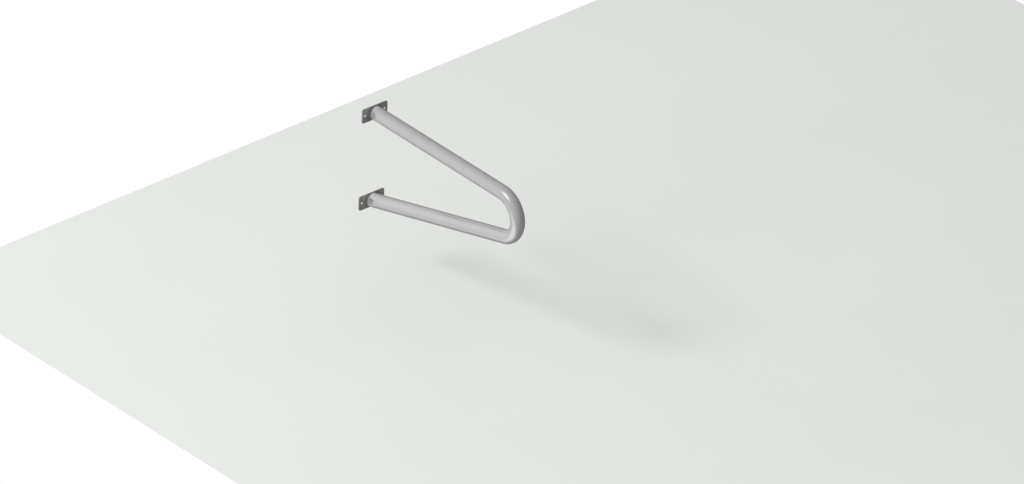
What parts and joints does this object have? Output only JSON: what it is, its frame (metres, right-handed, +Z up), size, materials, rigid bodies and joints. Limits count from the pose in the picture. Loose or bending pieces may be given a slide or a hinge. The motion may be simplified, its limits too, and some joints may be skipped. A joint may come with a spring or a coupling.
{
  "type": "wall-mounted hoop bike rack",
  "caption": "Hoop of round steel tube for leaning and locking a bicycle: a level upper leg and a sloping lower leg, each welded to a flat wall plate with anchor holes.",
  "frame": {"origin": "centre of the upper plate's back face, on the wall", "axes": "+Y into the wall, so the hoop stands out towards -Y; +X along the wall; +Z up"},
  "size_m": [0.132, 0.9198, 0.474],
  "materials": {
    "tube_steel": "satin, ground stainless steel",
    "plate_steel": "satin, cut from flat stainless bar",
    "weld_steel": "brushed weld bead"
  },
  "bodies": {
    "root": {"hoop_tube": "tube_steel", "upper_plate": "plate_steel", "lower_plate": "plate_steel", "upper_weld": "weld_steel", "lower_weld": "weld_steel"}
  },
  "joints": []
}
